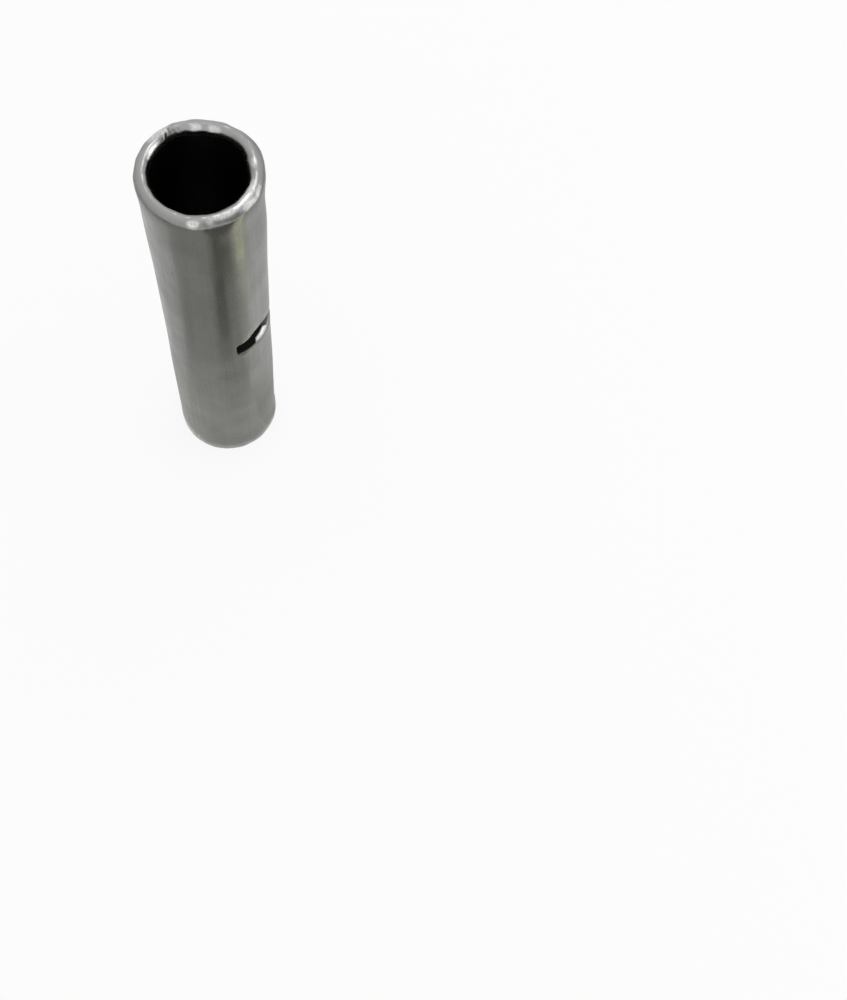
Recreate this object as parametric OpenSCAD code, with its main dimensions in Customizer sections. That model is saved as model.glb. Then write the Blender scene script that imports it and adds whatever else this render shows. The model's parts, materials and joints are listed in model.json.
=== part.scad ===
// Bare butt splice: a tin-plated copper tube that joins two stripped wires end to end.
// A wire goes in at each end until it meets the stop at mid-length, and each half of
// the tube is then crimped on its own wire.
// The stop is part of the wall. A blade-shaped tool cuts the wall across the tube and
// draws the metal on one side of the cut down into the bore, as a slanting strip.
// The tube stands on its end at the origin, with its axis up and the stop towards +X.

/* [Tube] */
// Outer diameter of the tube
outer_d = 5.5; // [5:0.1:7]
// Diameter of the bore that takes the bared strands
bore_d = 4.3; // [3.8:0.1:4.6]
// Length of the whole tube
tube_len = 25; // [12:0.5:40]

/* [Ends] */
// Radius of the tumbled outer edge at each end
rim_r = 0.2; // [0.05:0.05:0.25]
// Radius of the inner edge at each end, where the wire goes in
mouth_r = 0.15; // [0.05:0.05:0.2]

/* [Wire stop] */
// Length of the pressed slot, measured straight across it
slot_len = 3.8; // [2.4:0.1:4.4]
// Width of the slot along the tube, from the lip to the cut
slot_w = 1.2; // [0.9:0.05:2]
// How deep the strip's tip lies under the crown of the tube
press_depth = 1.25; // [1:0.05:1.6]
// Thickness of the pressed strip, thinned a little by drawing
strip_t = 0.5; // [0.3:0.05:0.6]
// Flat land along the strip's tip
land_w = 0.25; // [0.1:0.05:0.4]
// Open gap between the strip's tip and the cut edge of the wall
shear_gap = 0.15; // [0.05:0.05:0.25]
// Rounding of the slot's corners, seen from outside
corner_r = 0.2; // [0.05:0.05:0.35]
// Radius of the lip where the wall bends down into the strip
lip_r = 0.3; // [0.1:0.05:0.4]
// Bevel that the cut leaves on the edge above it
cut_bevel = 0.1; // [0.05:0.05:0.2]
// How far the press draws the tube in at the stop, all the way round
neck_depth = 0.05; // [0.02:0.01:0.1]
// Length of tube that it draws in
neck_len = 4; // [3:0.5:6]

/* [Hidden] */
$fn = 128;

// Cutting shapes reach this far past the faces that they cut
over = 1;
// A hidden edge of a cutting shape lies this far behind the face it belongs to, so
// that faces cross and never only touch
clear = 0.05;

outer_r = outer_d / 2;
bore_r = bore_d / 2;
mid_wall_r = (outer_r + bore_r) / 2;

// The slot is centred on the tube's length: the lip is its lower edge, the cut its upper.
// The neck is deepest halfway between them, and skin_r is the tube's outer radius at both.
stop_z = tube_len / 2;
lip_z = stop_z - slot_w / 2;
cut_z = stop_z + slot_w / 2;
skin_r = outer_r - neck_depth * max(0, 1 - slot_w / neck_len);

// The points below lie in the tube's half section, as [distance from axis, height].
// The strip's outer face ends in a land, and land_start is the land's lower edge.
strip_top_z = cut_z - shear_gap;
tip_r = outer_r - press_depth;
land_start = [tip_r, strip_top_z - land_w];

// The lip's arc leaves the wall at a slight angle. The strip's slope is the line from
// the land that just touches this arc.
lip_start_a = 12;
lip_centre = [skin_r - lip_r * cos(lip_start_a), lip_z - lip_r * sin(lip_start_a)];
to_land = land_start - lip_centre;
slope_a = atan2(to_land[1], to_land[0]) - acos(lip_r / norm(to_land));
lip_end = lip_centre + lip_r * [cos(slope_a), sin(slope_a)];

// The slope's point at distance r from the axis. back moves the slope into the metal,
// square to itself.
function slope_point(r, back) =
    [r, land_start[1] + (tip_r - r - back / cos(slope_a)) / tan(slope_a)];

// One side of the wall's section, from the bottom up, at radius r but for the neck
function wall_side(r) = [
    [r, 0],
    [r, stop_z - neck_len / 2],
    [r - neck_depth, stop_z],
    [r, stop_z + neck_len / 2],
    [r, tube_len]
];

// What a corner at the origin loses when it is rounded to radius r, the metal being to its
// lower left
module corner_cut(r) {
    translate([-r, -r])
        difference() {
            square(r + over);
            circle(r);
        }
}

// What the upper end of the wall loses: its outer corner and the corner of the mouth
module rim_cut() {
    translate([outer_r, 0])
        corner_cut(rim_r);
    translate([bore_r, 0])
        mirror([1, 0])
            corner_cut(mouth_r);
}

// The tube with its neck, before the stop is cut
module drawn_tube() {
    bore_side = wall_side(bore_r);
    rotate_extrude()
        difference() {
            polygon([
                each wall_side(outer_r),
                for (i = [len(bore_side) - 1:-1:0]) bore_side[i]
            ]);
            translate([0, tube_len])
                rim_cut();
            mirror([0, 1])
                rim_cut();
        }
}

// Block with the outline of the slot, from the strip's tip outwards, its corners round.
// grow widens it on every side.
module slot_block(grow) {
    r = corner_r + grow;
    half = slot_len / 2 + grow;
    low_z = lip_z - clear - grow;
    high_z = cut_z + cut_bevel + clear + grow;
    translate([tip_r - grow, 0, 0])
        rotate([90, 0, 90])
            linear_extrude(press_depth + grow + over) {
                translate([-half, low_z + r])
                    square([2 * half, high_z - low_z - 2 * r]);
                translate([-half + r, low_z])
                    square([2 * half - 2 * r, high_z - low_z]);
                for (y = [-half + r, half - r], z = [low_z + r, high_z - r])
                    translate([y, z])
                        circle(r);
            }
}

// The hollow left by the press: over the lip, down the slope, and up the cut. It is drawn
// from the lip's centre, so that the lip's arc runs smoothly into the slope.
module pressed_hollow() {
    deep_r = tip_r - clear;
    profile = [
        lip_centre,
        lip_end,
        slope_point(deep_r, 0),
        [deep_r, cut_z],
        [skin_r - cut_bevel, cut_z],
        [skin_r + over, cut_z + cut_bevel + over],
        [outer_r + over, lip_centre[1]]
    ];
    intersection() {
        slot_block(0);
        rotate_extrude()
            translate(lip_centre)
                difference() {
                    polygon([for (p = profile) p - lip_centre]);
                    circle(lip_r);
                }
    }
}

// The metal pushed ahead of the press: the hollow's slope and ends, one strip thickness
// further in, trimmed square below the cut
module pressed_metal() {
    deep_r = tip_r - strip_t - clear;
    intersection() {
        slot_block(strip_t);
        rotate_extrude()
            polygon([
                slope_point(mid_wall_r, strip_t),
                slope_point(deep_r, strip_t),
                [deep_r, strip_top_z],
                [mid_wall_r, strip_top_z]
            ]);
    }
}

module splice_sleeve() color("silver") {
    difference() {
        union() {
            drawn_tube();
            pressed_metal();
        }
        pressed_hollow();
    }
}

splice_sleeve();
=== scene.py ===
# %% [markdown]
# A tinned copper butt splice, made in cells
#
# The piece is one short copper tube, cut off square. A press cuts its wall across at
# mid-length and draws the metal below the cut down into the bore, as a slanting strip: that
# is the wire stop. The tube is then tumbled, so that its edges go round, and tin-plated.
#
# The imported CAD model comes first. It stays the frame that everything else is fitted to,
# so its box is kept here, before anything is added.

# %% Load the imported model
import json
import math

import bmesh
import bpy
from mathutils import Matrix, Vector


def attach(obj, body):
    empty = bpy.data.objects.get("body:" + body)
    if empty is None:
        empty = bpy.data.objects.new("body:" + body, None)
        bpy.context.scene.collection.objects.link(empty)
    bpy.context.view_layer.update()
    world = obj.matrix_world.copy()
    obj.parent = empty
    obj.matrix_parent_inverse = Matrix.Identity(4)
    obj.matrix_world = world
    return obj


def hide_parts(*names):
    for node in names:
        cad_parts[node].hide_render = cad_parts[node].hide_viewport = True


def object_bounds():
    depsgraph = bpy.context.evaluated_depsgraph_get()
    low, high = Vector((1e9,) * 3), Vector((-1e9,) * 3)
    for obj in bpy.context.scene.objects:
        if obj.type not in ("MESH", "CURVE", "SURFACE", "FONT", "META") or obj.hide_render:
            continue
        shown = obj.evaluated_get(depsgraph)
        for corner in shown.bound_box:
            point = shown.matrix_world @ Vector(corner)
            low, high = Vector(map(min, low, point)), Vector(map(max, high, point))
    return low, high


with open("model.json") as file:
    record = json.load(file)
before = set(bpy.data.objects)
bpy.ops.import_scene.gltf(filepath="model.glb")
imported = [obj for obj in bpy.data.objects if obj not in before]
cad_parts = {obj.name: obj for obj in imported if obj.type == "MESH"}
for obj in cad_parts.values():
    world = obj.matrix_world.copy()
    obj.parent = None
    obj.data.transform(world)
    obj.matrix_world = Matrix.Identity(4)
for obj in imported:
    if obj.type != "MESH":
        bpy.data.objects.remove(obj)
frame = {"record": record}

MM = 0.001

cad_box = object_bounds()
print("CAD box in mm:", [[round(v / MM, 3) for v in corner] for corner in cad_box])

# %% [markdown]
# Sizes
#
# The tube's radius and length are read from the CAD model's box, and its bore from the
# mount that takes the wire. The stop repeats the CAD source's sizes, but for the corners of
# the slot and the edge of the cut, which are rounder here, as on the real piece.
#
# They are in millimetres, and the tube is modelled at one unit to a millimetre, because
# Blender's limits for merging and cutting are made for things the size of a hand or a
# house. The last step scales it to metres.

# %% Sizes of the tube and of its stop, in millimetres
OUTER_R, LENGTH = round(cad_box[1][0] / MM, 2), round(cad_box[1][2] / MM, 2)
BORE_R = frame["record"]["mounts"][0]["dims"]["r_mm"]
SLOT_HALF, SLOT_W = 1.9, 1.2
LOW_CORNER_R, HIGH_CORNER_R = 0.5, 0.28
PRESS_DEPTH, STRIP_T, LAND_W, SHEAR_GAP = 1.25, 0.5, 0.25, 0.15
LIP_R, CUT_EDGE_R = 0.3, 0.08
NECK_DEPTH = 0.05

WALL, MID_WALL_R = OUTER_R - BORE_R, (OUTER_R + BORE_R) / 2
STOP_Z = LENGTH / 2
LIP_Z, CUT_Z = STOP_Z - SLOT_W / 2, STOP_Z + SLOT_W / 2
STRIP_TOP_Z = CUT_Z - SHEAR_GAP
TIP_R = OUTER_R - PRESS_DEPTH
SKIN_R = OUTER_R - NECK_DEPTH
print("tube:", OUTER_R, "and", BORE_R, "in radius,", LENGTH, "long, slot", LIP_Z, "to", CUT_Z)

# %% [markdown]
# Small helpers
#
# Each operator works on whatever is selected. The frame's own meshes are still selected
# after loading, so every step starts by choosing one object, or by choosing vertices or
# edges by their place. These helpers do that, and draw an outline point by point.

# %% Helpers: choose an object, choose parts of it, draw a section
def only(piece):
    bpy.ops.object.select_all(action="DESELECT")
    piece.select_set(True)
    bpy.context.view_layer.objects.active = piece


def centre_of(element):
    if isinstance(element, bmesh.types.BMVert):
        return element.co
    return (element.verts[0].co + element.verts[1].co) / 2


def choose(piece, kind, test):
    """In edit mode, selects the vertices or edges whose centre passes the test."""
    bpy.ops.mesh.select_mode(type=kind)
    bpy.ops.mesh.select_all(action="DESELECT")
    mesh = bmesh.from_edit_mesh(piece.data)
    parts = {"VERT": mesh.verts, "EDGE": mesh.edges}[kind]
    for part in [p for p in parts if test(centre_of(p))]:
        part.select_set(True)
    mesh.select_flush_mode()
    bmesh.update_edit_mesh(piece.data)


def draw_section(name, points, turn=0.0):
    """Draws a closed outline point by point, each as (distance from the axis, height)."""
    c, s = math.cos(turn), math.sin(turn)
    spots = [Vector((r * c, r * s, z)) for r, z in points]
    bpy.ops.object.select_all(action="DESELECT")
    bpy.ops.mesh.primitive_plane_add(size=1, location=spots[0])
    piece = bpy.context.object
    piece.name = piece.data.name = name
    bpy.ops.object.transform_apply(location=True, rotation=True, scale=True)
    bpy.ops.object.mode_set(mode="EDIT")
    bpy.ops.mesh.select_mode(type="VERT")
    bpy.ops.mesh.select_all(action="SELECT")
    bpy.ops.mesh.merge(type="CENTER")
    for here, there in zip(spots, spots[1:]):
        bpy.ops.mesh.extrude_vertices_move(TRANSFORM_OT_translate={"value": there - here})
    bpy.ops.mesh.select_all(action="SELECT")
    bpy.ops.mesh.edge_face_add()
    bpy.ops.object.mode_set(mode="OBJECT")
    print(name, "section:", len(piece.data.vertices), "points")
    return piece


# %% [markdown]
# The tube
#
# A drawn tube has the same wall all along, so it is a section swept once round the axis.
# The section could be an extruded ring, but then the rims would have to be shaped after.
# Here the wall's own section is drawn first, with rows along its two long sides for the
# small dents that come later, and spun like work in a lathe.

# %% Draw the wall's section
wall = draw_section(
    "splice_sleeve_tinned",
    [(BORE_R, 0), (OUTER_R, 0), (OUTER_R, LENGTH), (BORE_R, LENGTH)],
)

# %% [markdown]
# Tumbling rounds the edges of each rim, outside and at the mouth where the wire goes in.
# The edges could be bevelled after the spin, all the way round. A bevel on each corner of
# the section does the same with four points. The upper rim has been knocked about more than
# the lower one: its roundings meet in one crown, and are stretched along the tube.

# %% Round the rims, then add rows along the wall
# Each end: its height, how far the outer and the inner rounding reach, and their stretch
RIMS = ((0.0, 0.12, 0.15, 1.0), (LENGTH, 0.28, 0.3, 1.6))
ROUNDING_STEPS = 8
OUTER_ROWS, BORE_ROWS = 99, 49
NEAR = 0.01


def is_long_side(centre, outside):
    """Whether an edge of the section runs along the tube, on its outer side or its bore."""
    return abs(centre.z - STOP_Z) < LENGTH / 4 and (centre.x > MID_WALL_R) == outside


bpy.ops.object.mode_set(mode="EDIT")
for end_z, outer_reach, mouth_reach, stretch in RIMS:
    for radius, reach in ((OUTER_R, outer_reach), (BORE_R, mouth_reach)):
        corner = Vector((radius, 0, end_z))
        choose(wall, "VERT", lambda p: (p - corner).length < NEAR)
        bpy.ops.mesh.bevel(offset=reach, segments=ROUNDING_STEPS, affect="VERTICES")
    choose(wall, "VERT", lambda p: abs(p.z - end_z) < STOP_Z)
    bpy.ops.transform.resize(value=(1, 1, stretch), center_override=(0, 0, end_z))
bpy.ops.mesh.select_all(action="SELECT")
bpy.ops.mesh.delete(type="ONLY_FACE")
for outside, rows in ((True, OUTER_ROWS), (False, BORE_ROWS)):
    choose(wall, "EDGE", lambda p: is_long_side(p, outside))
    bpy.ops.mesh.subdivide(number_cuts=rows)
bpy.ops.object.mode_set(mode="OBJECT")
print("wall section:", len(wall.data.vertices), "points")

# %% [markdown]
# Pressing the stop draws the whole tube in by a few hundredths of a millimetre, which
# shows as a very long, shallow neck. Cutting it off spreads each end by even less, and
# rolls the edge of the upper mouth inwards. These could be drawn as points of the section,
# but then each curve would need many. So only the middle of each is moved, and proportional
# editing carries the rest of the wall along in a smooth curve.

# %% Draw the neck in, spread the ends and roll the mouth in
NECK_Z, NECK_HALF, NECK_REACH = 14.2, 2.8, 5.0
SPREADS = ((0, 0.025), (LENGTH, 0.055))
SPREAD_ZONE, SPREAD_REACH = 0.5, 1.6
MOUTH_IN, MOUTH_ZONE, MOUTH_REACH = 0.08, 0.25, 0.5


def pull(piece, test, move, reach, connected=True):
    """Moves the chosen vertices, and those within reach of them less and less.

    If connected, only those on the same stretch of surface go with them.
    """
    choose(piece, "VERT", test)
    bpy.ops.transform.translate(
        value=move,
        use_proportional_edit=True,
        use_proportional_connected=connected,
        proportional_edit_falloff="SMOOTH",
        proportional_size=reach,
    )


def pull_out(test, distance, reach):
    """Moves points of the wall's section away from the axis."""
    pull(wall, test, (distance, 0, 0), reach, connected=False)


bpy.ops.object.mode_set(mode="EDIT")
pull_out(lambda p: abs(p.z - NECK_Z) < NECK_HALF, -NECK_DEPTH, NECK_REACH)
for end_z, spread in SPREADS:
    pull_out(
        lambda p: p.x > MID_WALL_R and abs(p.z - end_z) < SPREAD_ZONE, spread, SPREAD_REACH
    )
pull_out(lambda p: p.x < MID_WALL_R and p.z > LENGTH - MOUTH_ZONE, -MOUTH_IN, MOUTH_REACH)
print("neck", NECK_DEPTH, "deep; ends spread by", [spread for end_z, spread in SPREADS])

# %% Spin the section round the axis
COLUMNS = 256
MERGE = 0.0005

bpy.ops.mesh.select_all(action="SELECT")
bpy.ops.mesh.spin(
    steps=COLUMNS, angle=2 * math.pi, center=(0, 0, 0), axis=(0, 0, 1), dupli=False
)
bpy.ops.mesh.select_all(action="SELECT")
bpy.ops.mesh.remove_doubles(threshold=MERGE)
bpy.ops.mesh.normals_make_consistent(inside=False)
bpy.ops.object.mode_set(mode="OBJECT")
print("tube:", len(wall.data.polygons), "faces")

# %% [markdown]
# Tumbling in a drum with hundreds of others leaves its marks. The long wall stays almost
# true, with dips far too shallow to feel, but they bend its reflections. The rims knock
# against each other and get an uneven, hammered edge. Sculpting would do, but a Displace
# modifier on a clouds texture gives the same dips each time, and a vertex group holds
# the stronger one to the rims.

# %% Dent the wall lightly and the rims more
# How much the rims' dents take hold: from each distance to an end, with this weight
RIM_WEIGHTS = ((0.9, 0.15), (0.65, 0.4), (0.4, 0.8), (0.3, 1.0))


def displace(piece, name, size, strength, group=""):
    clouds = bpy.data.textures.new(name, "CLOUDS")
    clouds.noise_scale, clouds.noise_depth = size, 1
    only(piece)
    dents = piece.modifiers.new(name, "DISPLACE")
    dents.texture, dents.texture_coords = clouds, "LOCAL"
    dents.strength, dents.mid_level, dents.vertex_group = strength, 0.5, group
    bpy.ops.object.modifier_apply(modifier=dents.name)
    print(name, "dented in mm:", [round(v, 3) for v in piece.dimensions])


only(wall)
bpy.ops.object.vertex_group_add()
bpy.ops.object.mode_set(mode="EDIT")
for distance, weight in RIM_WEIGHTS:
    choose(wall, "VERT", lambda p: min(p.z, LENGTH - p.z) < distance)
    bpy.context.scene.tool_settings.vertex_group_weight = weight
    bpy.ops.object.vertex_group_assign()
bpy.ops.object.mode_set(mode="OBJECT")
displace(wall, "tumbled_wall", size=2.2, strength=0.012)
displace(wall, "tumbled_rims", size=0.55, strength=0.055, group=wall.vertex_groups[0].name)

# %% [markdown]
# The press tool and the strip
#
# The stop is cut and formed in one stroke by a blade with a slanting back. It could be
# modelled by pulling the wall's own faces about, but the cut would then tear the rows.
# It is cleaner to model the two solids that the stroke makes: the hollow that the blade
# leaves, and the metal that it pushes ahead of itself. Each is a section swept round the
# axis, trimmed by a block with the blade's outline.
#
# The slope of the strip is the line from the tip that just touches the lip's arc.

# %% Work out the strip's slope
LIP_START = math.radians(12)
lip_centre = Vector((SKIN_R - LIP_R * math.cos(LIP_START), LIP_Z - LIP_R * math.sin(LIP_START)))
land_start = Vector((TIP_R, STRIP_TOP_Z - LAND_W))
to_land = land_start - lip_centre
SLOPE = math.atan2(to_land.y, to_land.x) - math.acos(LIP_R / to_land.length)


def slope_point(r, back=0.0):
    """The slope's height at distance r from the axis, moved back into the metal."""
    return (r, land_start.y + (TIP_R - r - back / math.cos(SLOPE)) / math.tan(SLOPE))


def arc(centre, radius, start, end, steps):
    """Points along an arc, its angles in radians."""
    return [
        (centre[0] + radius * math.cos(a), centre[1] + radius * math.sin(a))
        for a in (start + (end - start) * i / steps for i in range(steps + 1))
    ]


print("the strip rises at", round(90 - math.degrees(SLOPE), 1), "degrees to the axis' normal")

# %% [markdown]
# Such a solid could be a boolean of primitives. Two helpers give it its true form in fewer
# steps: one sweeps a section through part of a turn, and one makes the block with the
# slot's outline, grown by the strip's thickness where it trims the pushed metal. A boolean
# modifier keeps what they share.

# %% Helpers: sweep a section, make the slot's block, combine two solids
SWEEP = math.radians(130)
SWEEP_STEPS = 96
ABOVE, CLEAR = 1.0, 0.05


def sweep(name, points):
    piece = draw_section(name, points, turn=SWEEP / 2)
    bpy.ops.object.mode_set(mode="EDIT")
    bpy.ops.mesh.select_all(action="SELECT")
    bpy.ops.mesh.spin(
        steps=SWEEP_STEPS, angle=SWEEP, center=(0, 0, 0), axis=(0, 0, 1), dupli=False
    )
    bpy.ops.mesh.select_all(action="SELECT")
    bpy.ops.mesh.normals_make_consistent(inside=False)
    bpy.ops.object.mode_set(mode="OBJECT")
    return piece


def slot_block(name, grow):
    """A block with the outline of the slot, its corners round, grown on every side."""
    x_low = TIP_R - grow
    z_low, z_high = LIP_Z - CLEAR - grow, CUT_Z + CUT_EDGE_R + CLEAR + grow
    middle_z, height = (z_low + z_high) / 2, z_high - z_low
    bpy.ops.object.select_all(action="DESELECT")
    bpy.ops.mesh.primitive_plane_add(size=1, location=(0, 0, 0), rotation=(0, math.pi / 2, 0))
    piece = bpy.context.object
    piece.name = piece.data.name = name
    bpy.ops.object.transform_apply(location=True, rotation=True, scale=True)
    bpy.ops.object.mode_set(mode="EDIT")
    bpy.ops.mesh.select_mode(type="VERT")
    bpy.ops.mesh.select_all(action="SELECT")
    bpy.ops.transform.resize(value=(1, 2 * (SLOT_HALF + grow), height))
    bpy.ops.transform.translate(value=(x_low, 0, middle_z))
    for way, corner_r in ((-1, LOW_CORNER_R + grow), (1, HIGH_CORNER_R + grow)):
        choose(piece, "VERT", lambda p: (p.z - middle_z) * way > height / 4)
        bpy.ops.mesh.bevel(offset=corner_r, segments=ROUNDING_STEPS, affect="VERTICES")
    bpy.ops.mesh.select_mode(type="FACE")
    bpy.ops.mesh.select_all(action="SELECT")
    bpy.ops.mesh.extrude_region_move(
        TRANSFORM_OT_translate={"value": (OUTER_R + ABOVE - x_low, 0, 0)}
    )
    bpy.ops.mesh.select_all(action="SELECT")
    bpy.ops.mesh.normals_make_consistent(inside=False)
    bpy.ops.object.mode_set(mode="OBJECT")
    return piece


def combine(piece, other, operation):
    only(piece)
    cut = piece.modifiers.new("combine", "BOOLEAN")
    cut.object, cut.operation, cut.solver = other, operation, "EXACT"
    bpy.ops.object.modifier_apply(modifier=cut.name)
    only(other)
    bpy.ops.object.delete()
    print(piece.name, operation.lower(), "done:", len(piece.data.polygons), "faces")


# %% Model the hollow that the blade leaves
LIP_STEPS, CUT_EDGE_STEPS = 8, 5

deep_r = TIP_R - CLEAR
cut_edge_centre = (SKIN_R - CUT_EDGE_R, CUT_Z + CUT_EDGE_R)
hollow = sweep(
    "press_hollow",
    [
        (OUTER_R + ABOVE, lip_centre.y),
        *arc(lip_centre, LIP_R, 0, SLOPE, LIP_STEPS),
        slope_point(deep_r),
        (deep_r, CUT_Z),
        *arc(cut_edge_centre, CUT_EDGE_R, math.radians(-90), 0, CUT_EDGE_STEPS),
        (OUTER_R + ABOVE, CUT_Z + CUT_EDGE_R),
    ],
)
combine(hollow, slot_block("blade", 0), "INTERSECT")

# %% Model the metal that it pushes ahead
deep_r = TIP_R - STRIP_T - CLEAR
strip = sweep(
    "pressed_strip",
    [
        slope_point(MID_WALL_R, STRIP_T),
        slope_point(deep_r, STRIP_T),
        (deep_r, STRIP_TOP_Z),
        (MID_WALL_R, STRIP_TOP_Z),
    ],
)
combine(strip, slot_block("bulge", STRIP_T), "INTERSECT")

# %% Press the stop into the tube
combine(wall, strip, "UNION")
combine(wall, hollow, "DIFFERENCE")

# %% [markdown]
# The last marks on the shape
#
# The blade drags the edge above the slot in before it cuts through, most of all near the
# middle. The edge could be cut along a bent line instead, but pulling it keeps the rounding
# that the cut left. Proportional editing follows the connected surface, so the strip's tip,
# which lies close by but on the other side of the cut, stays where it is.

# %% Drag in the cut edge
DRAG, DRAG_REACH = 0.165, 1.0
DRAG_FROM, DRAG_TO = -0.7, -0.35
# How far below and above the cut, and inside the bore, the dragged edge reaches
EDGE_BELOW, EDGE_ABOVE, EDGE_INSIDE = 0.02, CUT_EDGE_R + 0.05, 0.2


def on_cut_edge(p):
    along = DRAG_FROM < p.y < DRAG_TO and p.x > BORE_R - EDGE_INSIDE
    return along and -EDGE_BELOW < p.z - CUT_Z < EDGE_ABOVE


only(wall)
bpy.ops.object.mode_set(mode="EDIT")
pull(wall, on_cut_edge, (-DRAG, 0, 0), DRAG_REACH)
print("edge above the slot dragged in by", DRAG)

# %% [markdown]
# In the drum the upper rim has been struck many times. A blow leaves a shallow dent and
# burnishes the tin, and the tin there is painted brighter still, as a painted highlight; a
# knock pushes the edge of the mouth in or out. Each is given by its direction from the slot
# and its place across the rim. A noise texture would put such marks anywhere, so these few
# are placed one by one, where the real rim has them.

# %% List the marks on the upper rim
# Each blow: its direction in degrees, its place across the rim from 0 at the bore to 1
# outside, its depth, half its length and width, and how bright it is painted, for its
# burnish and a painted highlight
BLOWS = (
    (-73, 0.82, 0.05, 0.32, 0.18, 0.95),
    (-58, 0.75, 0.02, 0.18, 0.1, 0.5),
    (-38, 0.48, 0.01, 1.0, 0.17, 0.7),
    (-8, 0.42, 0.05, 0.9, 0.2, 0.85),
    (-8, 0.9, 0.02, 0.6, 0.1, 0.4),
    (32, 0.35, 0.03, 0.32, 0.15, 0.5),
    (96, 0.1, 0.04, 0.33, 0.18, 0.65),
    (117, 0.1, 0.03, 0.3, 0.18, 0.8),
    (129, 0.85, 0.02, 0.35, 0.15, 0.5),
    (157, 0.85, 0.03, 0.7, 0.3, 0.8),
    (175, 0.15, 0.03, 0.62, 0.15, 0.95),
)
# Each knock: its direction, its place across the rim, how far it is pushed outwards and up,
# and its reach
KNOCKS = (
    (146, 0.1, 0.12, -0.1, 0.26),
    (134, 0.1, 0.04, -0.04, 0.35),
    (80, 0.1, 0.04, -0.04, 0.35),
    (110, 0.15, -0.08, 0, 1.4),
    (-48, 0.1, -0.1, 0, 1.2),
    (-14, 0.1, -0.11, 0, 1.0),
    (-83, 0.1, -0.05, 0, 0.9),
    (-148, 0.1, 0.03, 0, 1.2),
    (34, 0.1, -0.11, 0, 1.0),
    (49, 0.95, 0.09, 0, 1.7),
)
print("marks:", len(BLOWS), "blows and", len(KNOCKS), "knocks")

# %% Strike the upper rim
STRUCK_R, BLOW_ZONE, KNOCK_ZONE = 0.12, 0.3, 0.5


def heading(degrees):
    """A flat unit vector, its direction counted from the slot."""
    a = math.radians(degrees)
    return Vector((math.cos(a), math.sin(a), 0))


def strike(degrees, place, zone, move, reach):
    """Moves a spot on the upper rim, down to a depth of zone, and what is round it."""
    spot = heading(degrees) * (BORE_R + place * WALL) + Vector((0, 0, LENGTH))
    pull(
        wall,
        lambda p: (p - spot).xy.length < STRUCK_R and p.z > spot.z - zone,
        move,
        reach,
    )


for degrees, place, depth, half_length, half_width, brightness in BLOWS:
    strike(degrees, place, BLOW_ZONE, Vector((0, 0, -depth)), half_length)
for degrees, place, out, up, reach in KNOCKS:
    move = heading(degrees) * out + Vector((0, 0, up))
    strike(degrees, place, KNOCK_ZONE, move, reach)
top = max(v.co.z for v in bmesh.from_edit_mesh(wall.data).verts)
print("rim struck, and now up to", round(top, 3), "mm high")

# %% Swell one side a little, most of all at its lower end
SWOLLEN_SIDE = heading(24)
BULGE, BULGE_R, BULGE_REACH = 0.05, 0.3, 1.5
SWELL, SWELL_R, SWELL_REACH = 0.045, 0.4, 2.0
SWELL_FROM, SWELL_TO = 0.6, 21.0

foot = SWOLLEN_SIDE * OUTER_R
pull(wall, lambda p: (p - foot).length < BULGE_R, SWOLLEN_SIDE * BULGE, BULGE_REACH)
pull(
    wall,
    lambda p: (p - foot).xy.length < SWELL_R and SWELL_FROM < p.z < SWELL_TO,
    SWOLLEN_SIDE * SWELL,
    SWELL_REACH,
)
bpy.ops.object.mode_set(mode="OBJECT")
print("swollen to", [round(v, 3) for v in wall.dimensions], "mm")

# %% [markdown]
# The material has to know where the blows fell. It could work that out from the place on
# the object, with a few nodes for each blow. An attribute on the mesh is simpler: it keeps
# for each vertex how bright the blows are painted, burnish and painted highlight together,
# and one node reads it.

# %% Keep how bright the blows paint the rim: burnish and painted highlight
BLOW_DROP = 0.45


def brightness_from(blow, here):
    """How bright a blow is painted at a place, burnish and painted highlight together: most at
    its middle, and nothing past its edge.
    """
    degrees, place, depth, half_length, half_width, brightness = blow
    if heading(degrees).dot(here) < 0:
        return 0.0
    along = heading(degrees).cross(here).z / half_length
    across = (here.xy.length - BORE_R - place * WALL) / half_width
    below = (LENGTH - here.z) / BLOW_DROP
    nearness = max(0.0, 1 - along**2 - across**2 - below**2)
    return brightness * (1 - (1 - nearness) ** 2)


# How bright the blows are painted: burnish and painted highlight together
burnish_and_sheen = wall.data.attributes.new("burnish_and_sheen", "FLOAT", "POINT")
for corner, spot in zip(wall.data.vertices, burnish_and_sheen.data):
    if corner.co.z > LENGTH - BLOW_DROP:
        spot.value = max(brightness_from(blow, corner.co) for blow in BLOWS)
print("burnished vertices:", sum(spot.value > 0 for spot in burnish_and_sheen.data))

# %% [markdown]
# The mesh is still a thousand times too big. The object's own scale could do the rest, but
# then the export and the material would see two sizes. So it is scaled down to metres and
# the scale applied, and the object stays at the origin, unturned and unscaled, like the
# CAD node that it stands for. Shading is smooth but for edges sharper than 35 degrees.

# %% Scale to metres, smooth the shading and hand the piece to the frame
SMOOTH_ANGLE = math.radians(35)

only(wall)
bpy.ops.transform.resize(value=(MM, MM, MM), center_override=(0, 0, 0))
bpy.ops.object.transform_apply(location=True, rotation=True, scale=True)
bpy.ops.object.shade_smooth_by_angle(angle=SMOOTH_ANGLE)
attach(wall, "root")
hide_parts("splice_sleeve")
print("finished piece in mm:", [round(v / MM, 3) for v in wall.dimensions])

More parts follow.
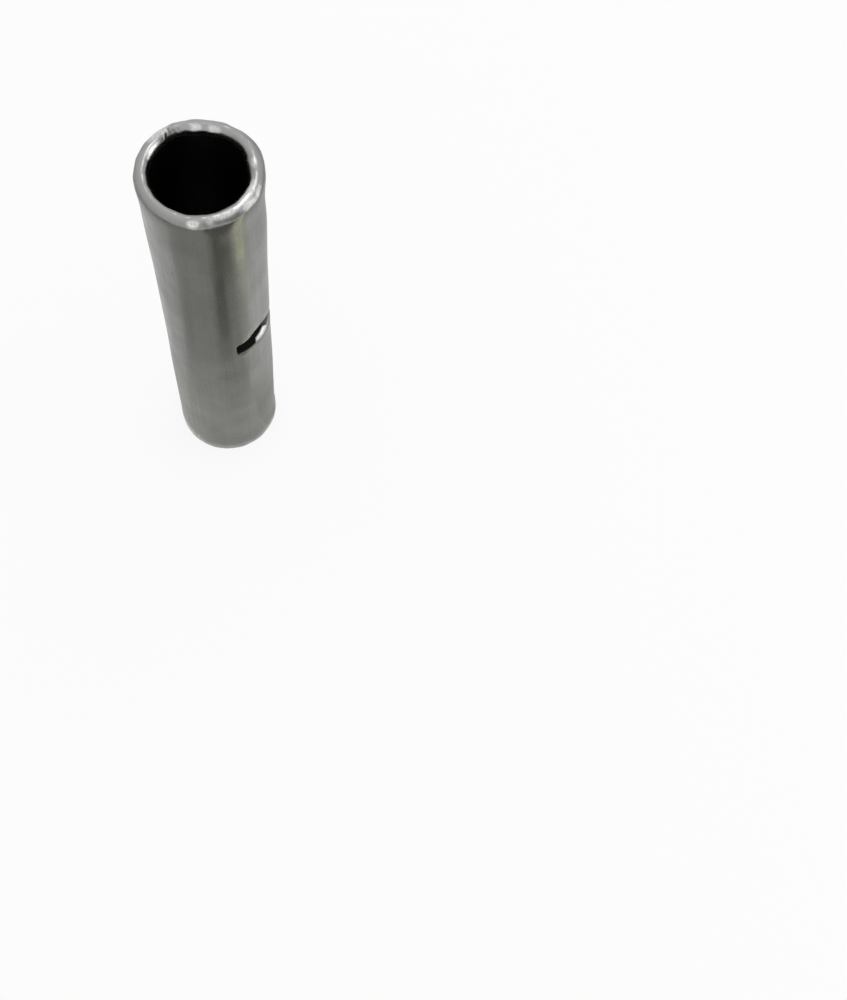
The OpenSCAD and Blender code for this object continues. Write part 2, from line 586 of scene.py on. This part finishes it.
# %% [markdown]
# The tin
#
# Electroplated tin on drawn copper is a grey metal with a satin surface. Close up it has
# four kinds of detail: fine lines along the tube from the drawing die, soft clouds where
# the plating dried unevenly, a fine grain, and small pits and scuffs from tumbling.
# A picture could be wrapped round the tube, but noise textures that read the place on the
# object need no unwrapping, and give the same grain on every face.
#
# The helpers below keep the node trees short: one adds a node and fills its sockets, and
# a socket may be given a value or another node's output.

# %% Helpers for node trees
def new_material(name):
    material = bpy.data.materials.new(name)
    material.use_nodes = True
    return material, material.node_tree


def add(tree, kind, sockets=None, **settings):
    node = tree.nodes.new(kind)
    for key, value in settings.items():
        setattr(node, key, value)
    for key, value in (sockets or {}).items():
        if isinstance(value, bpy.types.NodeSocket):
            tree.links.new(value, node.inputs[key])
        else:
            node.inputs[key].default_value = value
    return node


def noise(tree, place, scale, detail=3.0, stretch=(1, 1, 1)):
    """Noise on a place in millimetres, its scale in features to the millimetre."""
    spread = add(tree, "ShaderNodeMapping", {"Vector": place, "Scale": stretch})
    return add(
        tree,
        "ShaderNodeTexNoise",
        {"Vector": spread.outputs[0], "Scale": scale, "Detail": detail, "Roughness": 0.55},
    ).outputs[0]


def fit(tree, value, low, high, to_low, to_high):
    """Maps low..high of a value to to_low..to_high, and holds it between them."""
    return add(
        tree,
        "ShaderNodeMapRange",
        {"Value": value, "From Min": low, "From Max": high, "To Min": to_low, "To Max": to_high},
    ).outputs[0]


def sums(tree, operation, a, b):
    return add(tree, "ShaderNodeMath", {0: a, 1: b}, operation=operation).outputs[0]


def product(tree, *values):
    total = values[0]
    for value in values[1:]:
        total = sums(tree, "MULTIPLY", total, value)
    return total


def blend(tree, factor, a, b):
    """Mixes two colours. Socket 0 of the node takes the factor, and 6 and 7 the colours."""
    mix = add(tree, "ShaderNodeMix", {0: factor, 6: a, 7: b}, data_type="RGBA")
    return mix.outputs[2]


# %% Start the tin plate with its noises
# Most of a noise's values lie in its span, and only its rare peaks lie above that
NOISE_SPAN, WIDE_SPAN, RUBBING_SPAN = (0.35, 0.65), (0.3, 0.7), (0.42, 0.62)
PIT_PEAKS, SCUFF_PEAKS = (0.70, 0.76), (0.66, 0.72)

tin, tree = new_material("tin_plate_satin")
surface = tree.nodes["Principled BSDF"]
place = add(tree, "ShaderNodeTexCoord").outputs["Object"]
place = add(tree, "ShaderNodeMapping", {"Vector": place, "Scale": (1 / MM,) * 3}).outputs[0]

lines = noise(tree, place, 1.0, stretch=(9, 9, 0.14))
clouds = noise(tree, place, 0.55, detail=4)
patches = noise(tree, place, 0.14, detail=2)
grain = noise(tree, place, 9.0, detail=2)
pits = fit(tree, noise(tree, place, 5.0, detail=1), *PIT_PEAKS, 0, 1)
scuffs = fit(tree, noise(tree, place, 1.0, stretch=(0.8, 0.8, 7)), *SCUFF_PEAKS, 0, 1)
rubbing = fit(tree, noise(tree, place, 1.6, detail=3), *RUBBING_SPAN, 0.75, 1)
print("tin plate: lines, clouds, patches, grain, pits, scuffs and rubbing")

# %% [markdown]
# The rims are worn a little brighter than the wall. Along their crown the tin is painted
# lighter still, a painted highlight, and towards the bore and the outer edge much darker, a
# painted shade; towards the far side the rims are lighter over their whole width. The blows
# on the upper rim are much brighter, partly burnish and partly painted highlight. Masks
# could be painted on the mesh, but height and distance from the axis tell these places
# apart. So each mask is made of ramps on them, and noise breaks up the rims' one so that it
# has no hard border.

# %% Mask the worn rims, the painted light and shade on their crown, and the blows
# Each ramp runs between two distances, from the middle of the length or from the axis
RIM_RAMP = (STOP_Z - 0.35, STOP_Z - 0.1)
# The crown's painted highlight rises in from the bore, and painted shade comes back towards the
# outer edge
INNER_CREST_RAMP, OUTER_CREST_RAMP = (BORE_R, BORE_R + 0.25), (MID_WALL_R, OUTER_R)
OUTER_CREST = 0.4
# Towards its far side each rim is lighter over its whole width
FAR_SIDE, FAR_RAMP, FAR_LIGHTENING = heading(112), (1.2, 2.0), 0.9

split = add(tree, "ShaderNodeSeparateXYZ", {0: place})
across_slot, height = split.outputs[1], split.outputs[2]
flat = add(tree, "ShaderNodeCombineXYZ", {0: split.outputs[0], 1: across_slot}).outputs[0]
from_middle = sums(tree, "ABSOLUTE", sums(tree, "SUBTRACT", height, STOP_Z), 0)
from_axis = add(tree, "ShaderNodeVectorMath", {0: flat}, operation="LENGTH").outputs["Value"]

# The rims, where the tin is worn and where the crown's painted light and shade go
worn = product(tree, fit(tree, from_middle, *RIM_RAMP, 0, 1), rubbing)
crest_light_and_shade = product(
    tree,
    fit(tree, from_axis, *INNER_CREST_RAMP, 0, 1),
    fit(tree, from_axis, *OUTER_CREST_RAMP, 1, OUTER_CREST),
)
far = add(tree, "ShaderNodeVectorMath", {0: flat, 1: FAR_SIDE}, operation="DOT_PRODUCT")
far = fit(tree, far.outputs["Value"], *FAR_RAMP, 0, FAR_LIGHTENING)
crest_light_and_shade = sums(tree, "MAXIMUM", crest_light_and_shade, far)
# The blows' brightness: partly burnish, partly painted highlight
blows = add(tree, "ShaderNodeAttribute", attribute_name="burnish_and_sheen").outputs["Fac"]
blows = product(tree, blows, fit(tree, grain, *NOISE_SPAN, 0.6, 1.15))
print("rims worn from", [round(z - STOP_Z, 2) for z in RIM_RAMP], "mm to their ends")

# %% [markdown]
# Little light reaches into the bore and the pressed hollow, which look nearly black but for
# a glint along the middle of the lip. They could be left to the light alone, but bare tin
# mirrors the bright room all the way down the tube, and is far too light there. So masks
# paint shade on the tin inside, nearly black from a short way below the mouth, and leave
# the lip out, where a painted glint of bright tin lies instead.

# %% Mask the painted shade in the bore and the hollow, and the lip's painted glint
# Distances from the axis
BORE_RAMP, HOLLOW_RAMP = (BORE_R + 0.1, BORE_R + 0.2), (SKIN_R - 0.1, SKIN_R - 0.02)
LIP_SKIN_RAMP = (SKIN_R - 0.12, SKIN_R - 0.07)
# Distances from the middle of the length
MOUTH_RAMP = (STOP_Z - 0.49, STOP_Z - 0.35)
# Heights: under the cut, under the lip and above the lip
CUT_RAMP, LOW_RAMP = (CUT_Z - 0.06, CUT_Z - 0.02), (LIP_Z - 0.4, LIP_Z - 0.3)
LIP_GLINT_RAMP = (LIP_Z + 0.3, LIP_Z + 0.4)
# Places along the slot: the lip that the painted shade leaves out, how much wider it leaves
# the hollow unshaded, and the two ends, where the painted shade is weaker
LIP_SIDE, LIP_RAMP, LIP_BARES = -0.22, (0.37, 0.59), 0.15
FAR_END_RAMP, NEAR_END_RAMP = (0.1, 0.5), (-1.95, -1.7)
FAR_END_DARK, NEAR_END_DARK = 0.85, 0.4
# How bright a blow has to be to stay light inside the mouth
LIGHT_BLOW_RAMP = (0.2, 0.5)

# Painted shade: the bore is made nearly black from a short way below its mouth, but for bright
# blows
bore_shade = product(
    tree,
    fit(tree, from_axis, *BORE_RAMP, 1, 0),
    fit(tree, from_middle, *MOUTH_RAMP, 1, 0),
    fit(tree, blows, *LIGHT_BLOW_RAMP, 1, 0),
)
by_slot = product(
    tree, fit(tree, height, *CUT_RAMP, 1, 0), fit(tree, height, *LOW_RAMP, 0, 1)
)
from_lip = sums(tree, "ABSOLUTE", sums(tree, "SUBTRACT", across_slot, LIP_SIDE), 0)
bare_lip = fit(tree, from_lip, *LIP_RAMP, LIP_BARES, 0)
# Painted shade: the hollow under the cut is made nearly black, less so at the lip and the slot's
# ends
hollow_shade = product(
    tree,
    fit(tree, sums(tree, "ADD", from_axis, bare_lip), *HOLLOW_RAMP, 1, 0),
    by_slot,
    fit(tree, across_slot, *FAR_END_RAMP, 1, FAR_END_DARK),
    fit(tree, across_slot, *NEAR_END_RAMP, NEAR_END_DARK, 1),
)
inside = sums(tree, "MAXIMUM", bore_shade, hollow_shade)
# A painted glint: bright tin on the lip, which shows where the painted shade leaves the lip out
lip_glint = product(
    tree,
    fit(tree, from_axis, *LIP_SKIN_RAMP, 1, 0),
    by_slot,
    fit(tree, grain, *NOISE_SPAN, 0.25, 0.6),
    fit(tree, height, *LIP_GLINT_RAMP, 1, 0),
)
# Bright tin: the blows' burnish and painted highlights, and the lip's painted glint
brightened = sums(tree, "MAXIMUM", blows, lip_glint)
print("bore dark from", [round(STOP_Z - z, 2) for z in MOUTH_RAMP], "mm below its mouth")

# %% [markdown]
# The parts of the material come together. Colour could carry all the detail, but then it
# would look printed on: fine grain, lines and pits show mostly in how they break up the
# reflections. So they also go into the roughness and into a bump of one or two thousandths
# of a millimetre, while worn and burnished places and the painted highlights only change
# colour, and the painted shade inside also makes the tin rougher.

# %% Put the detail together: colour, roughness and a shallow bump
CLEAN_TIN, DULL_TIN = (0.345, 0.347, 0.34, 1), (0.28, 0.283, 0.272, 1)
# Worn tin, lighter along the crown as a painted highlight, and much darker tin at the edges as
# painted shade
WORN_LIT_TIN, SHADED_EDGE_TIN = (0.38, 0.38, 0.375, 1), (0.12, 0.12, 0.117, 1)
# Bright tin for the blows' burnish and painted highlights, and for the lip's painted glint
BURNISH_AND_GLINT_TIN = (0.72, 0.72, 0.71, 1)
LINE_TIN, PIT_TIN = (0.18, 0.18, 0.17, 1), (0.14, 0.14, 0.13, 1)
# Nearly black tin: painted shade in the bore and the pressed hollow
PAINTED_SHADE_TIN = (0.008, 0.008, 0.007, 1)
LINE_SHARE, PIT_SHARE = 0.16, 0.35
CLOUD_SUM_SPAN = (0.75, 1.25)

dullness = fit(tree, sums(tree, "ADD", clouds, patches), *CLOUD_SUM_SPAN, 0, 1)
colour = blend(tree, dullness, CLEAN_TIN, DULL_TIN)
colour = blend(tree, fit(tree, lines, *NOISE_SPAN, 0, LINE_SHARE), colour, LINE_TIN)
colour = blend(tree, product(tree, pits, PIT_SHARE), colour, PIT_TIN)
# The rims: worn tin, with the crown's painted highlight and the edges' painted shade
colour = blend(tree, worn, colour, blend(tree, crest_light_and_shade, SHADED_EDGE_TIN, WORN_LIT_TIN))
# The blows' burnish and painted highlights, and the lip's painted glint
colour = blend(tree, brightened, colour, BURNISH_AND_GLINT_TIN)
# Painted shade: the tin inside the bore and the hollow turns nearly black
colour = blend(tree, inside, colour, PAINTED_SHADE_TIN)

# The satin's roughness, and how much the lines, the scuffs and the painted shade inside add to
# it
SATIN, LINES_ADD = (0.2, 0.3), (-0.03, 0.05)
SCUFFS_ADD, INSIDE_ADDS = 0.08, 0.3

roughness = fit(tree, clouds, *WIDE_SPAN, *SATIN)
for rougher in (
    fit(tree, lines, *WIDE_SPAN, *LINES_ADD),
    product(tree, scuffs, SCUFFS_ADD),
    product(tree, inside, INSIDE_ADDS),
):
    roughness = sums(tree, "ADD", roughness, rougher)

# Heights in metres, as the bump node takes them
GRAIN_HEIGHT, LINE_HEIGHT, PIT_DEPTH = 1.6e-6, 0.8e-6, 2.0e-6

bump = None
for pattern, size, pressed_in in (
    (grain, GRAIN_HEIGHT, False),
    (lines, LINE_HEIGHT, False),
    (pits, PIT_DEPTH, True),
):
    sockets = {"Height": pattern, "Distance": size}
    if bump:
        sockets["Normal"] = bump
    bump = add(tree, "ShaderNodeBump", sockets, invert=pressed_in).outputs[0]

surface.inputs["Metallic"].default_value = 1.0
tree.links.new(colour, surface.inputs["Base Color"])
tree.links.new(roughness, surface.inputs["Roughness"])
tree.links.new(bump, surface.inputs["Normal"])
wall.data.materials.clear()
wall.data.materials.append(tin)
print("tin plate:", len(tree.nodes), "nodes")

# %% [markdown]
# The table and the light
#
# The sleeve stands on a plain white table. More light would make it white, but would also
# bleach the sleeve. So the table shows a plain white to the camera and in reflections, with
# a small share of its lit surface, which keeps the sleeve's soft shadow.

# %% Lay the table
# The table lies just under the lowest dent of the sleeve's foot
TABLE_SIZE, TABLE_Z = 1.2, -0.02 * MM
PAPER_WHITE, PAPER_ROUGHNESS, PAPER_GLOSS = (0.9, 0.9, 0.9, 1), 0.9, 0.1
PLAIN_SHARE = 0.85

floor_material, floor_tree = new_material("white_table")
bpy.ops.object.select_all(action="DESELECT")
bpy.ops.mesh.primitive_plane_add(size=TABLE_SIZE, location=(0, 0, TABLE_Z))
floor = bpy.context.object
floor.name = "table"
paper = floor_tree.nodes["Principled BSDF"]
paper.inputs["Base Color"].default_value = PAPER_WHITE
paper.inputs["Roughness"].default_value = PAPER_ROUGHNESS
paper.inputs["Specular IOR Level"].default_value = PAPER_GLOSS
seen = add(floor_tree, "ShaderNodeLightPath")
shown = sums(floor_tree, "MAXIMUM", seen.outputs["Is Camera Ray"], seen.outputs["Is Glossy Ray"])
shown = sums(floor_tree, "MAXIMUM", shown, seen.outputs["Is Transmission Ray"])
glow = add(floor_tree, "ShaderNodeEmission", {"Color": (1, 1, 1, 1), "Strength": 1.0})
mix = add(
    floor_tree,
    "ShaderNodeMixShader",
    {0: product(floor_tree, shown, PLAIN_SHARE), 1: paper.outputs[0], 2: glow.outputs[0]},
)
floor_tree.links.new(mix.outputs[0], floor_tree.nodes["Material Output"].inputs[0])
floor.data.materials.append(floor_material)
print("table", TABLE_SIZE, "m wide,", PLAIN_SHARE, "of its look plain white")

# %% [markdown]
# A bright room lights the sleeve from all round, with a small soft box high behind it and
# a soft panel low on its right. One lamp would do for a plain surface, but a metal shows
# what is round it more than its own colour. So the room has a tone of its own in
# reflections too: it is darker towards the front right.

# %% Light the room
# Directions go round from the camera's side, with the elevation above the table
CAMERA_AZIMUTH = 29
AMBIENT = 0.85
DARK_SIDE, DARK_TONE = (40, 25), 0.45
# Cosines of the angles from the dark side at which the darkness starts and is full
DARK_START, DARK_FULL = 0.84, 0.98


def direction(azimuth, elevation):
    """A unit vector: azimuth 0 is the camera's side, 90 its right, 180 behind the sleeve."""
    a, e = math.radians(azimuth + CAMERA_AZIMUTH), math.radians(elevation)
    return Vector((math.sin(a) * math.cos(e), -math.cos(a) * math.cos(e), math.sin(e)))


def soft_lamp(name, azimuth, elevation, distance, width, height, watts):
    lamp = bpy.data.lights.new(name, "AREA")
    lamp.shape, lamp.size, lamp.size_y, lamp.energy = "RECTANGLE", width, height, watts
    holder = bpy.data.objects.new(name, lamp)
    bpy.context.scene.collection.objects.link(holder)
    away = direction(azimuth, elevation)
    holder.location = Vector((0, 0, STOP_Z * MM)) + away * distance
    holder.rotation_euler = away.to_track_quat("Z", "Y").to_euler()
    holder.visible_camera = False
    print(name, "of", watts, "W at", [round(v, 3) for v in holder.location], "m")


room = bpy.data.worlds.new("room")
room.use_nodes = True
bpy.context.scene.world = room
room_tree = room.node_tree
seen = add(room_tree, "ShaderNodeLightPath").outputs
looked = add(room_tree, "ShaderNodeTexCoord").outputs["Generated"]
towards_dark = add(
    room_tree,
    "ShaderNodeVectorMath",
    {0: looked, 1: direction(*DARK_SIDE)},
    operation="DOT_PRODUCT",
).outputs["Value"]
shown = sums(room_tree, "MAXIMUM", seen["Is Camera Ray"], seen["Is Transmission Ray"])
level = fit(room_tree, shown, 0, 1, AMBIENT, 1.0)
mirrored = fit(room_tree, towards_dark, DARK_START, DARK_FULL, 1.0, DARK_TONE)
level = fit(room_tree, seen["Is Glossy Ray"], 0, 1, level, mirrored)
room_tree.links.new(level, room_tree.nodes["Background"].inputs["Strength"])
room_tree.nodes["Background"].inputs["Color"].default_value = (1, 1, 1, 1)

soft_lamp("soft_box", 141, 62, distance=0.16, width=0.06, height=0.06, watts=0.016)
soft_lamp("side_panel", 85, 18, distance=0.15, width=0.07, height=0.14, watts=0.035)

# %% [markdown]
# Cards lie on the table round the sleeve, as grey paper would in a photo studio, to give
# the wall its bands of tone. Each glows with one fixed tone, the one that lit or shaded
# paper would show there, so the bands are painted reflections. The bands could be painted
# on the tin, but then they would stay on it wherever it is seen from or moved to. Only
# reflections see the cards.

# %% Lay the glowing cards that only reflections see
FAR = 120
# The lowest card's height, and how far above it the next one lies
CARD_Z, CARD_STEP = -0.018, 0.004
# Each card: the tone it glows with, the middle and half the width of its arc in degrees,
# and how far from the axis it starts and ends
CARDS = {
    "foot_card": ((0.56, 0.56, 0.535), 180, 180, 3, 8),
    "light_card": ((0.75, 0.75, 0.745), 180, 180, 6.5, FAR),
    "edge_card": ((0.64, 0.64, 0.64), 140, 45, 6.5, FAR),
    "pale_card": ((0.64, 0.64, 0.63), -94, 23, 6, FAR),
    "left_foot_card": ((0.56, 0.56, 0.55), -94, 23, 5.8, 7.6),
    "right_foot_card": ((0.47, 0.47, 0.45), 92, 38, 3, 5.0),
    "grey_card": ((0.425, 0.425, 0.4), -12, 59, 6, FAR),
    "pale_grey_card": ((0.49, 0.49, 0.465), -12, 59, 6, 8),
    "dim_card": ((0.35, 0.35, 0.33), -57, 9, 8.5, 13.5),
    "half_grey_card": ((0.5, 0.5, 0.475), 54, 9, 9, 13.8),
    "black_card_far": ((0.17, 0.17, 0.145), 21, 17, 13.8, FAR),
    "black_card_middle": ((0.15, 0.15, 0.125), 11, 12, 11.2, 13.8),
    "black_card_near": ((0.2, 0.2, 0.175), 7, 12, 9.5, 11.2),
    "dark_strip": ((0.1, 0.1, 0.085), 13, 5, 10.8, 15),
    "warm_card": ((1.0, 0.99, 0.68), 54, 8, 14.2, FAR),
    "shade_card": ((0.52, 0.52, 0.49), 69, 6, 14.2, FAR),
}


# A card's painted glow: its tone as an emission of strength 1, whatever lights the room
def glowing_tone(name, tone):
    material, card_tree = new_material(name)
    glow = add(card_tree, "ShaderNodeEmission", {"Color": (*tone, 1), "Strength": 1.0})
    card_tree.links.new(glow.outputs[0], card_tree.nodes["Material Output"].inputs[0])
    return material


def fan(name, tone, azimuth, half_width, inner, outer, height):
    """A flat card like a fan, on the table round the sleeve, its sizes in millimetres."""
    bpy.ops.object.select_all(action="DESELECT")
    bpy.ops.mesh.primitive_grid_add(x_subdivisions=64, y_subdivisions=2, size=1)
    piece = bpy.context.object
    piece.name = name
    for corner in piece.data.vertices:
        way = direction(azimuth + 2 * half_width * corner.co.x, 0)
        corner.co = way * (inner + (outer - inner) * (corner.co.y + 0.5)) * MM
        corner.co.z = height * MM
    piece.data.materials.append(glowing_tone(name, tone))
    piece.visible_camera = piece.visible_diffuse = piece.visible_shadow = False


for layer, (name, (tone, azimuth, half_width, inner, outer)) in enumerate(CARDS.items()):
    fan(name, tone, azimuth, half_width, inner, outer, CARD_Z + CARD_STEP * layer)
print("cards:", len(CARDS))

# %% [markdown]
# The camera
#
# The photo was taken from steeply above, and has the sleeve in its upper left part,
# leaning. A lens shift could put it there, but a shift gives it another perspective than
# a camera that looks past it. So the camera first aims at the middle of the sleeve, and is
# then turned a little on all three axes.

# %% Place the camera
ELEVATION, DISTANCE = 61.685, 0.067633
YAW, PITCH, ROLL = 8.246, 9.396, 5.757
LENS, SENSOR = 45.804, 36
NEAREST, FARTHEST = 0.001, 10

camera_data = bpy.data.cameras.new("camera")
camera = bpy.data.objects.new("camera", camera_data)
bpy.context.scene.collection.objects.link(camera)
bpy.context.scene.camera = camera
camera_data.lens, camera_data.sensor_width = LENS, SENSOR
camera_data.clip_start, camera_data.clip_end = NEAREST, FARTHEST
back = direction(0, ELEVATION)
camera.location = Vector((0, 0, STOP_Z * MM)) + back * DISTANCE
right = Vector((0, 0, 1)).cross(back).normalized()
up = back.cross(right)
aim = Matrix((right, up, back)).transposed()
for angle, axis in ((YAW, "Y"), (PITCH, "X"), (ROLL, "Z")):
    aim = aim @ Matrix.Rotation(-math.radians(angle), 3, axis)
camera.rotation_euler = aim.to_euler()
bpy.context.scene.view_settings.view_transform = "Standard"
print("camera at", [round(v / MM, 2) for v in camera.location], "mm")
